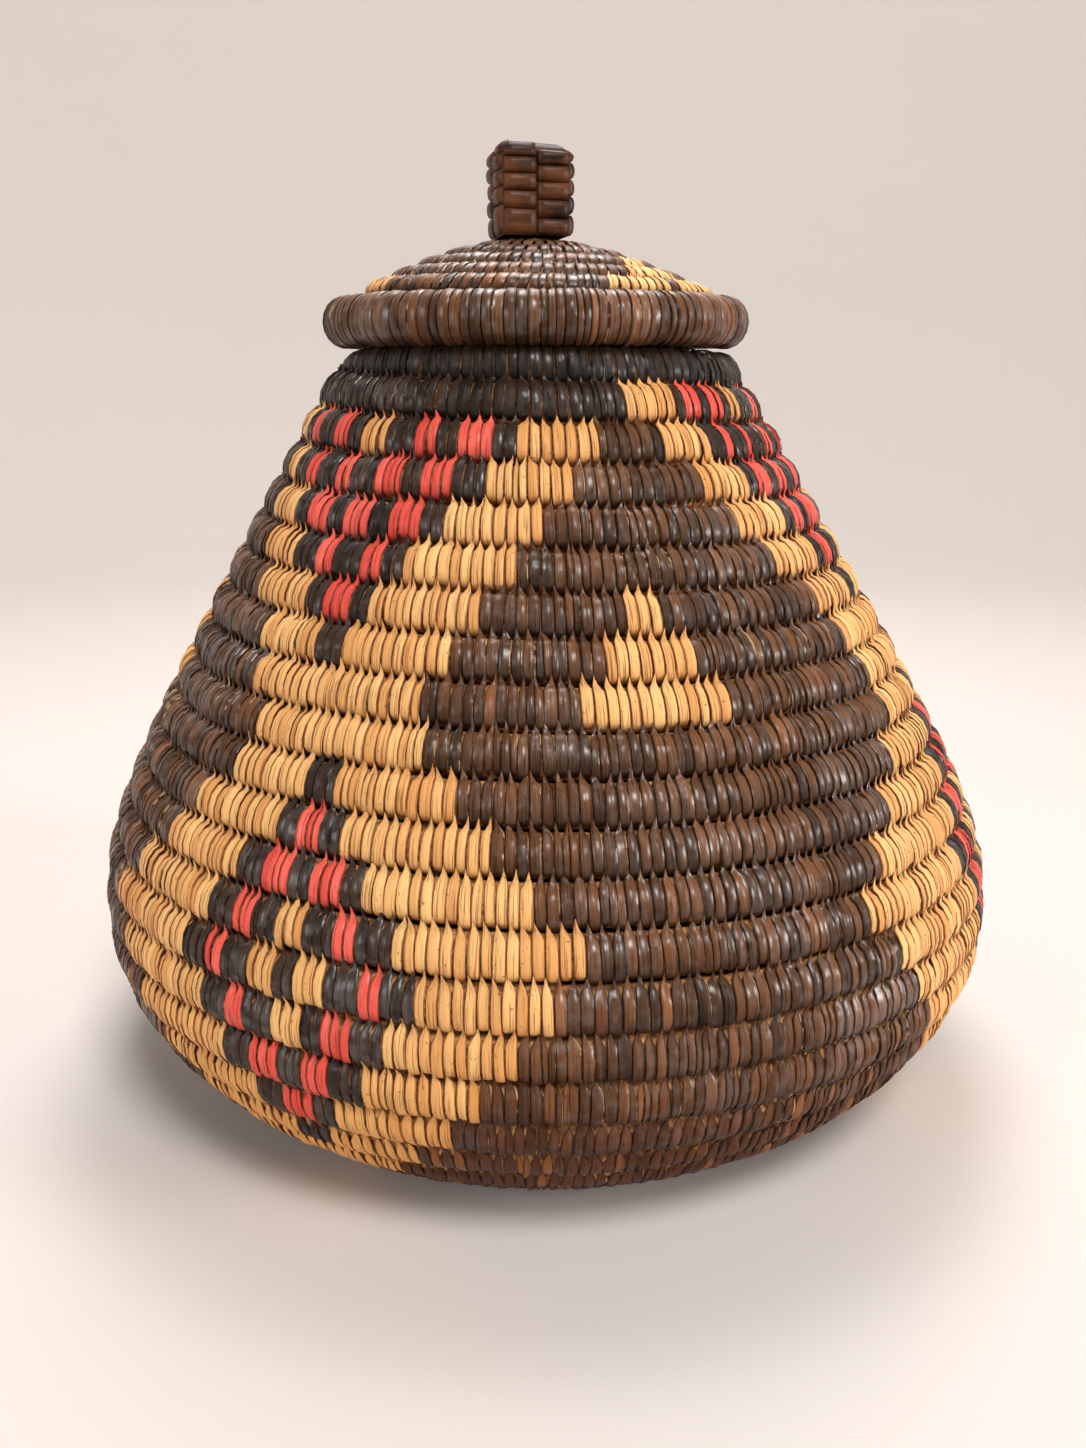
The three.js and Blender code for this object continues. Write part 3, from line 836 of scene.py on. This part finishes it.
def core_tube(first, last, place, half_height, half_depth):
    """A closed bmesh tube along a coil."""
    tube = bmesh.new()

    def settle(ring, angle):
        for corner, vertex in enumerate(ring):
            turn = 2 * math.pi * corner / CORE_CORNERS
            vertex.co = place(angle, 0, half_height * math.sin(turn), half_depth * math.cos(turn))

    made = bmesh.ops.create_circle(tube, segments=CORE_CORNERS, radius=1, cap_ends=False)
    settle(made["verts"], first)
    first_edges = list(tube.edges)
    edges = first_edges
    steps = round((last - first) / CORE_STEP)
    for step in range(1, steps + 1):
        grown = bmesh.ops.extrude_edge_only(tube, edges=edges)["geom"]
        fresh = [item for item in grown if isinstance(item, bmesh.types.BMVert)]
        settle(fresh, first + (last - first) * step / steps)
        edges = [item for item in grown if isinstance(item, bmesh.types.BMEdge)]
        edges = [edge for edge in edges if all(vertex in fresh for vertex in edge.verts)]
    bmesh.ops.holes_fill(tube, edges=first_edges + edges, sides=CORE_CORNERS)
    bmesh.ops.recalc_face_normals(tube, faces=tube.faces)
    return smoothed(tube)


core_parts = []
for turn in range(0, COIL_TURNS + 1, CORE_LOT_TURNS):
    start = TIP_ANGLE if turn == 0 else turn * FULL_TURN
    end = min((turn + CORE_LOT_TURNS) * FULL_TURN, wall_end)
    half_height = CORE_HALF_HEIGHT if end < LOW_ANGLE else LOW_CORE_HALF_HEIGHT
    core_parts.append(core_tube(start, end, on_wall, half_height, CORE_HALF_DEPTH))
basket_core = mesh_of("basket_core", core_parts)
basket_core.data.materials.append(straw.material)
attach(basket_core, "basket")
basket_nodes = [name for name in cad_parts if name.startswith(BASKET_NODES)]
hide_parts(*basket_nodes, "base_button")

# %% [markdown]
# The lid is a low spiral dome, with a thick coil round its rim and two turns of collar that
# drop into the mouth. It could be spun in one go, but made as the basket is, it can use the
# same helpers. The crown leans a little to the left.

# %% Sizes of the lid
LID_TURNS = 5
LID_BUTTON_RADIUS = 5.6
LID_LAST_SHARE = 0.5
LID_END_SHARE = 0.02
LID_FIRST_ANGLE = -100.0
CROWN_SHIFT = -1.5
LID_THICKNESS = 7.6
LID_CROWN_FULLNESS = 14.0
LID_SHOULDER_FULLNESS = 20.0
LID_SHOULDER_SLOPE = 24.0
LID_DOME_HEIGHT = 12.1
LID_SHOULDER = (43.26, 14.51)
RIM_TUCK = 1.3

lid_crown = LID_SHOULDER[1] + LID_DOME_HEIGHT
shoulder_down = math.sin(math.radians(LID_SHOULDER_SLOPE))
shoulder_out = math.cos(math.radians(LID_SHOULDER_SLOPE))
lid_run = Run([
    [
        (0, lid_crown),
        (LID_CROWN_FULLNESS, lid_crown),
        (
            LID_SHOULDER[0] - LID_SHOULDER_FULLNESS * shoulder_out,
            LID_SHOULDER[1] + LID_SHOULDER_FULLNESS * shoulder_down,
        ),
        LID_SHOULDER,
    ],
    [
        LID_SHOULDER,
        (LID_SHOULDER[0] + RIM_TUCK * shoulder_out, LID_SHOULDER[1] - RIM_TUCK * shoulder_down),
    ],
])
LID_PITCH = (lid_run.length - RIM_TUCK - LID_BUTTON_RADIUS) / (LID_TURNS + LID_LAST_SHARE)
lid_end = START_ANGLE + (LID_TURNS + LID_LAST_SHARE - LID_END_SHARE) * FULL_TURN
print("lid run", round(lid_run.length, 2), "mm, lid pitch", round(LID_PITCH, 2), "mm")


# %% Where a point of the lid lies
def lid_spot(x, y, turn):
    """A point by its distance from the axis, its height above the mouth and its turn."""
    return Vector((math.sin(turn) * x + MOUTH_SHIFT, -math.cos(turn) * x, y + MOUTH_RISE)) * MM


def lid_row(angle):
    """The middle and the width of the dome's coil, which narrows where it meets the rim."""
    inner = LID_BUTTON_RADIUS + LID_PITCH * (angle - START_ANGLE) / FULL_TURN
    outer = min(inner + LID_PITCH, lid_run.length)
    return (inner + outer) / 2, outer - inner


def on_lid(angle, sideways, along, out):
    """The same four measures as on the wall, laid on the dome."""
    middle, width = lid_row(angle)
    thickness = LID_THICKNESS / COIL_THICKNESS * depth_share(width / LID_PITCH)
    x, y = lid_run.place(middle + along * width / COIL_PITCH, out * thickness)
    spot = lid_spot(x, y, math.radians(angle) + sideways / max(x, LEAST_RADIUS))
    spot.x += CROWN_SHIFT * MM * max(0.0, (y - LID_SHOULDER[1]) / LID_DOME_HEIGHT)
    return spot


def lid_radius(angle):
    """How far the middle of the dome's coil lies from the axis."""
    return max(lid_run.place(lid_row(angle)[0], 0)[0], LEAST_RADIUS)


def round_coil(radius, middle, half_height, half_depth):
    """A place function for a level coil: along is an angle round its section."""
    def place(angle, sideways, along, out):
        section = math.radians(along)
        x = radius + math.cos(section) * (half_depth + out)
        y = middle - math.sin(section) * (half_height + out)
        return lid_spot(x, y, math.radians(angle) + sideways / radius)
    return place


print("the dome's last turn has a radius of", round(lid_radius(lid_end), 1), "mm")

# %% [markdown]
# The dome is browner and more worn than the wall, with two small groups of natural strips,
# and its strips slant. Charting each one would be more exact than the eye can check, so only
# the natural blocks are placed by angle, and the browns are drawn by lot.

# %% Strips and core of the dome
LID_SLANT = 3.4
LID_CORE_HALF_HEIGHT = 4.6
LID_CORE_HALF_DEPTH = 3.4
LID_COLOURS = "BKT"
LID_COLOUR_SHARES = (0.67, 0.05, 0.28)
# Natural blocks on the dome: from one angle to another, on a turn counted from the button
LID_NATURAL = [(24, 47, 4), (50, 90, 4), (36, 67, 3), (46, 62, 2), (-95, -55, 4), (-95, -55, 5)]


def lid_letter(angle):
    """The colour of a strip of the dome."""
    turned = (angle + HALF_TURN) % FULL_TURN - HALF_TURN
    ring = int((angle - START_ANGLE) / FULL_TURN)
    for low, high, turn in LID_NATURAL:
        if low < turned < high and ring == turn:
            return "N"
    return dice.choices(LID_COLOURS, LID_COLOUR_SHARES)[0]


lid_laid = lay_strips(LID_FIRST_ANGLE, lid_end, lid_radius, lid_letter)
lid_strips = with_character(lid_laid, lid_radius, slant=LID_SLANT, flatten=False)
print("strips on the dome:", len(lid_strips))
strip_pieces("lid_strips", lid_strips, [STITCH, INSIDE_STITCH], on_lid, "lid")
lid_cores = [
    core_tube(LID_FIRST_ANGLE, lid_end, on_lid, LID_CORE_HALF_HEIGHT, LID_CORE_HALF_DEPTH),
]

# %% [markdown]
# Rim and collar are level coils, wrapped all round like a whipped rope. A torus with a bump
# would do for the hidden collar, but the rim shows each wrap against the light. A wrap is a
# strip too: its places are angles round the section and not heights.

# %% Rim and collar
RIM_RADIUS = 48.3
RIM_MIDDLE = 10.2
RIM_HALF_HEIGHT = 6.1
RIM_HALF_DEPTH = 5.4
COLLAR_RADIUS = 33.9
COLLAR_MIDDLES = (8.76, 0.06)
COLLAR_HALF_HEIGHT = 3.9
COLLAR_HALF_DEPTH = 3.8
WRAP_WIDTH = 2.35
WRAP_THICKNESS = 0.4
WRAP_CORE_INSET = 0.5
RIM_WRAP = [(along, 0.0, 1.0) for along in range(160, -181, -20)]
COLLAR_WRAP = [(along, 0.0, 1.0) for along in range(180, -181, -24)]
RIM_TAN = [(13, 15.6), (22, 26.5), (57, 61)]
RIM_BROWN_SHARE = 0.92
COLLAR_BROWN_SHARE = 0.8


def rim_letter(angle):
    """Tan in a few short blocks, and elsewhere brown with a little black."""
    if any(low < angle < high for low, high in RIM_TAN):
        return "T"
    return "B" if dice.random() < RIM_BROWN_SHARE else "K"


def collar_letter(angle):
    """Brown with some black."""
    return "B" if dice.random() < COLLAR_BROWN_SHARE else "K"


def wrapped_ring(name, radius, middle, half_height, half_depth, wrap, letter_at):
    """Lays the wraps of a level coil, and returns its core."""
    place = round_coil(radius, middle, half_height, half_depth)
    laid = lay_strips(-HALF_TURN, HALF_TURN, lambda angle: radius, letter_at, WRAP_WIDTH)
    strips = with_character(laid, lambda angle: radius, flatten=False)
    for strip in strips:
        strip["tip"] = 0.0
        strip["drop"] = 0.0
    strip_pieces(name, strips, [wrap], place, "lid")

    def on_ring(angle, sideways, along, out):
        return lid_spot(radius + out, middle - along, math.radians(angle))

    half_sizes = (half_height - WRAP_CORE_INSET, half_depth - WRAP_CORE_INSET)
    return core_tube(-HALF_TURN, HALF_TURN, on_ring, *half_sizes)


lid_cores.append(wrapped_ring(
    "rim_wraps", RIM_RADIUS, RIM_MIDDLE, RIM_HALF_HEIGHT - WRAP_THICKNESS,
    RIM_HALF_DEPTH - WRAP_THICKNESS, RIM_WRAP, rim_letter,
))
for count, middle in enumerate(COLLAR_MIDDLES, 1):
    lid_cores.append(wrapped_ring(
        f"collar_wraps_{count}", COLLAR_RADIUS, middle, COLLAR_HALF_HEIGHT,
        COLLAR_HALF_DEPTH, COLLAR_WRAP, collar_letter,
    ))
lid_core = mesh_of("lid_core", lid_cores)
lid_core.data.materials.append(straw.material)
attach(lid_core, "lid")
lid_nodes = [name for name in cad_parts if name.startswith("lid_")]
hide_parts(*lid_nodes)

# %% [markdown]
# The knob's broad, dark strips are rubbed dull, and their fibres run round it. The palm recipe
# needs a strip map, and a noise that is stretched sideways gives the same fibres without one.

# %% Finish of the knob
KNOB_DARK = (34, 18, 9)
KNOB_LIGHT = (102, 60, 33)
KNOB_LEVELS = (0.35, 0.68)
KNOB_FIBRES = (90.0, 90.0, 900.0)
rubbed = Finish("knob_palm", Coat_Weight=0.12, Coat_Roughness=0.32, Specular_IOR_Level=0.15)
knob_place = rubbed.place()
stretch = {"Vector": knob_place, "Scale": KNOB_FIBRES}
fibre = rubbed.speckle(rubbed.node("ShaderNodeMapping", inputs=stretch), scale=1.0, detail=4.0)
patches = rubbed.speckle(knob_place, scale=130.0, detail=3.0)
knob_mix = rubbed.between(patches * 0.6 + fibre * 0.4, *KNOB_LEVELS)
rubbed.drive("Base Color", rubbed.blend(knob_mix, linear(*KNOB_DARK), linear(*KNOB_LIGHT)))
rubbed.drive("Roughness", fibre * 0.3 + 0.35)
rubbed.emboss(fibre, strength=0.3, distance=0.0003)

# %% [markdown]
# The knob is a square plait of four flat strips, folded over one another layer by layer. What
# shows on each side is two columns of soft folds, staggered by half a fold. Whole strips
# could be wound through each other, but what is hidden would be wasted. A fold is a small
# grid bent over half a cylinder.

# %% Sizes of the knob, and where a point of it lies
KNOB_WIDTH = 16.5
KNOB_HEIGHT = 21.7
KNOB_FOLDS = 10
KNOB_TURN = 12.0
KNOB_WARP = 0.14
KNOB_ROUND_FROM = 0.8
KNOB_ROUNDING = 0.2
KNOB_SAG = 0.9
KNOB_CLEARANCE = 0.3
KNOB_LAYER = KNOB_HEIGHT / (2 * (KNOB_FOLDS + 1))
KNOB_BASE = lid_crown + LID_THICKNESS / 2 + KNOB_CLEARANCE


def on_knob(x, y, z, quarter):
    """A point of the knob, its height stretched a little towards the base."""
    share = z / KNOB_HEIGHT
    height = KNOB_HEIGHT * ((1 + KNOB_WARP) * share - KNOB_WARP * share * share)
    near_top = max(0.0, (share - KNOB_ROUND_FROM) / (1 - KNOB_ROUND_FROM))
    x *= 1 - KNOB_ROUNDING * near_top * near_top
    y *= 1 - KNOB_ROUNDING * near_top * near_top
    turn = math.radians(quarter + KNOB_TURN)
    right = x * math.cos(turn) - y * math.sin(turn)
    height -= KNOB_SAG * near_top * max(0.0, 2 * right / KNOB_WIDTH) ** 2
    spot = (
        right + MOUTH_SHIFT + CROWN_SHIFT,
        x * math.sin(turn) + y * math.cos(turn),
        MOUTH_RISE + KNOB_BASE + height,
    )
    return Vector(spot) * MM


print("layers of the knob are", round(KNOB_LAYER, 2), "mm thick")

# %% Parts of the knob
# Across a fold: where its lines of vertices lie, and how full each is
FOLD_LINES = [
    (-1.0, 0.25), (-0.93, 0.85), (-0.5, 1.0), (0.0, 0.97), (0.5, 1.0), (0.93, 0.85), (1.0, 0.25),
]
FOLD_LANES = 4
FOLD_STEPS = 8
FOLD_REACH = 1.65
FOLD_REACH_SPREAD = (-0.35, 0.1)
FOLD_TILT = 0.25
FOLD_ROOT = 0.6
FOLD_ROUNDNESS = 0.5
FOLD_EDGE_HEIGHT = 0.85
FOLD_GAP = 0.1
PAD_OVERHANG = 1.0
PAD_GAP = 0.1
PAD_THICKNESS = 4.6
PAD_BEVEL = 1.9
PAD_DEPTH = 2.4
PLAIT_INSET = 0.8
PLAIT_GAP = 0.05
PLAIT_TOP = 3.0


def knob_fold(side, middle, down, up, quarter):
    """One fold that bulges from a side of the knob, with its reach below and above its middle."""
    fold = bmesh.new()
    columns = len(FOLD_LINES) - 1
    bmesh.ops.create_grid(fold, x_segments=columns, y_segments=FOLD_STEPS, size=1)
    lane = KNOB_WIDTH / FOLD_LANES
    reach = FOLD_REACH + dice.uniform(*FOLD_REACH_SPREAD)
    tilt = dice.uniform(-FOLD_TILT, FOLD_TILT)
    for vertex in fold.verts:
        across, fullness = FOLD_LINES[grid_line(vertex.co.x, columns)]
        bend = vertex.co.y * math.pi / 2
        bulge = (reach + FOLD_ROOT) * fullness * abs(math.cos(bend)) ** FOLD_ROUNDNESS
        out = KNOB_WIDTH / 2 - FOLD_ROOT + bulge
        half = down if bend < 0 else up
        spread = FOLD_EDGE_HEIGHT + (1 - FOLD_EDGE_HEIGHT) * fullness
        height = middle + half * math.sin(bend) * spread
        height += tilt * across * math.cos(bend)
        vertex.co = on_knob(side * out, -lane + across * (lane - FOLD_GAP), height, quarter)
    bmesh.ops.recalc_face_normals(fold, faces=fold.faces)
    return smoothed(fold)


def knob_pad(quarter):
    """The flat end of a strip on top of the knob."""
    pad = bmesh.new()
    bmesh.ops.create_cube(pad, size=1)
    half = KNOB_WIDTH / 2
    pad_size = (KNOB_WIDTH + PAD_OVERHANG, half - PAD_GAP, PAD_THICKNESS)
    bmesh.ops.scale(pad, verts=pad.verts, vec=pad_size)
    bmesh.ops.bevel(
        pad, geom=list(pad.edges), offset=PAD_BEVEL, segments=4, profile=0.5, affect="EDGES",
        material=-1,
    )
    for vertex in pad.verts:
        height = KNOB_HEIGHT - PAD_DEPTH + vertex.co.z
        vertex.co = on_knob(vertex.co.x, vertex.co.y - half / 2, height, quarter)
    return smoothed(pad)


def knob_plait(quarter):
    """The hidden body of the plait, which fills the chinks between the folds."""
    plait = bmesh.new()
    bmesh.ops.create_cube(plait, size=1)
    half = KNOB_WIDTH / 2
    for vertex in plait.verts:
        x = vertex.co.x * (KNOB_WIDTH - PLAIT_INSET)
        y = -half / 2 + vertex.co.y * (half - PLAIT_GAP)
        vertex.co = on_knob(x, y, (vertex.co.z + 0.5) * (KNOB_HEIGHT - PLAIT_TOP), quarter)
    return plait


# %% Plaiting the knob
# For each strip: its node, its first layer, the side it first bulges from and its quarter turn
KNOB_STRIPS = [
    ("knob_strip_front", 1, 1, 0),
    ("knob_strip_right", 0, -1, 90),
    ("knob_strip_back", 1, 1, 180),
    ("knob_strip_left", 0, -1, 270),
]
for name, first_layer, first_side, quarter in KNOB_STRIPS:
    parts = [knob_plait(quarter)]
    if first_layer:
        parts.append(knob_pad(quarter))
    for count in range(KNOB_FOLDS):
        side = first_side if count % 2 == 0 else -first_side
        height = (first_layer + 2 * count + 1.5) * KNOB_LAYER
        down = height if count < 2 else 2 * KNOB_LAYER
        up = min(2 * KNOB_LAYER, KNOB_HEIGHT - height)
        parts.append(knob_fold(side, height, down, up, quarter))
    folds = mesh_of(name.replace("strip", "folds"), parts)
    folds.data.materials.append(rubbed.material)
    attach(folds, "lid")
    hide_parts(name)

# %% [markdown]
# A flat plane would show a horizon line behind the basket. The stage is one sheet that runs
# flat under it and curves up all round: a chain of edges, spun round.

# %% Floor and backdrop
STAGE_MIDDLE = -0.85
STAGE_BEND = 1.7
BEND_RADIUS = 0.7
BEND_STEPS = 9
STAGE_TOP = 2.6
STAGE_STEPS = 72
SAME_SPOT = 0.0001

sheet = bmesh.new()
profile = [(0.0, 0.0), (STAGE_BEND, 0.0)]
for step in range(1, BEND_STEPS + 1):
    turn = math.radians(90 * step / BEND_STEPS)
    out = STAGE_BEND + BEND_RADIUS * math.sin(turn)
    profile.append((out, BEND_RADIUS * (1 - math.cos(turn))))
profile.append((STAGE_BEND + BEND_RADIUS, STAGE_TOP))
chain = [sheet.verts.new((0, STAGE_MIDDLE + out, z)) for out, z in profile]
edges = [sheet.edges.new(pair) for pair in zip(chain, chain[1:])]
bmesh.ops.spin(
    sheet, geom=chain + edges, cent=(0, STAGE_MIDDLE, 0), axis=(0, 0, 1),
    angle=2 * math.pi, steps=STAGE_STEPS, use_merge=True,
)
bmesh.ops.remove_doubles(sheet, verts=sheet.verts, dist=SAME_SPOT)
bmesh.ops.recalc_face_normals(sheet, faces=sheet.faces)
stage = mesh_of("stage", [smoothed(sheet)])
GROUND_TONE = (217, 209, 203)
pale_ground = Finish("pale_ground", Roughness=0.9, Base_Color=linear(*GROUND_TONE))
stage.data.materials.append(pale_ground.material)

# %% [markdown]
# The light is soft daylight from above and a little from the right. A sun lamp would give hard
# shadows, and square area lamps give soft ones. The key lights the whole basket, a small lamp
# behind it the lid, and one at the side the right flank. A fill opens the shadows on the left,
# and a lamp on the backdrop keeps it pale.


# %% Light
def soft_lamp(name, place, target, size, watts, spread=180):
    """A square lamp that faces a target, its spread in degrees."""
    lamp = bpy.data.lights.new(name, "AREA")
    lamp.shape = "SQUARE"
    lamp.size = size
    lamp.energy = watts
    lamp.spread = math.radians(spread)
    holder = new_object(name, lamp)
    holder.location = place
    holder.rotation_euler = (Vector(target) - Vector(place)).to_track_quat("-Z", "Y").to_euler()
    print("lamp:", name, watts, "W")


BASKET_MIDDLE = (0, 0, 0.11)
LID_MIDDLE = (0, 0, 0.2)
BACKDROP = (0, 1.6, 0.5)
soft_lamp("key", (0.5, -1.4, 2.0), BASKET_MIDDLE, size=0.7, watts=39)
soft_lamp("lid", (0.04, 0.32, 0.84), LID_MIDDLE, size=0.36, watts=3.6)
soft_lamp("side", (1.7, -0.5, 0.45), BASKET_MIDDLE, size=0.5, watts=1.9, spread=55)
soft_lamp("fill", (-1.4, -1.2, 0.7), BASKET_MIDDLE, size=0.8, watts=10)
soft_lamp("back", (0.0, 0.5, 2.0), BACKDROP, size=1.0, watts=11)

# %% Light of the room
ROOM_TONE = (236, 230, 224)
ROOM_STRENGTH = 0.09
world = bpy.data.worlds.new("room")
bpy.context.scene.world = world
world.use_nodes = True
room_light = world.node_tree.nodes["Background"]
room_light.inputs["Color"].default_value = linear(*ROOM_TONE)
room_light.inputs["Strength"].default_value = ROOM_STRENGTH
print("room light:", ROOM_STRENGTH)

# %% [markdown]
# The camera stands close to the basket, about as high as its mouth, and looks down a little.
# It could be placed by eye, but its place, dip and focal length were fitted to seams of the
# coil, so each row falls where it should.

# %% Camera, at the photograph's viewing angle
CAMERA_PLACE = (-0.0009, -0.343, 0.1865)
CAMERA_DIP = 15.59
FOCAL_PIXELS = 1284
PICTURE_HEIGHT = 1448
SENSOR = 36.0
NEAREST = 0.01

camera = bpy.data.cameras.new("camera")
camera.sensor_fit = "VERTICAL"
camera.sensor_height = SENSOR
camera.lens = FOCAL_PIXELS / PICTURE_HEIGHT * SENSOR
camera.clip_start = NEAREST
holder = new_object("camera", camera)
holder.location = CAMERA_PLACE
holder.rotation_euler = (math.radians(90 - CAMERA_DIP), 0, 0)
bpy.context.scene.camera = holder
bpy.context.scene.view_settings.view_transform = "Standard"
print("camera lens:", round(camera.lens, 2), "mm")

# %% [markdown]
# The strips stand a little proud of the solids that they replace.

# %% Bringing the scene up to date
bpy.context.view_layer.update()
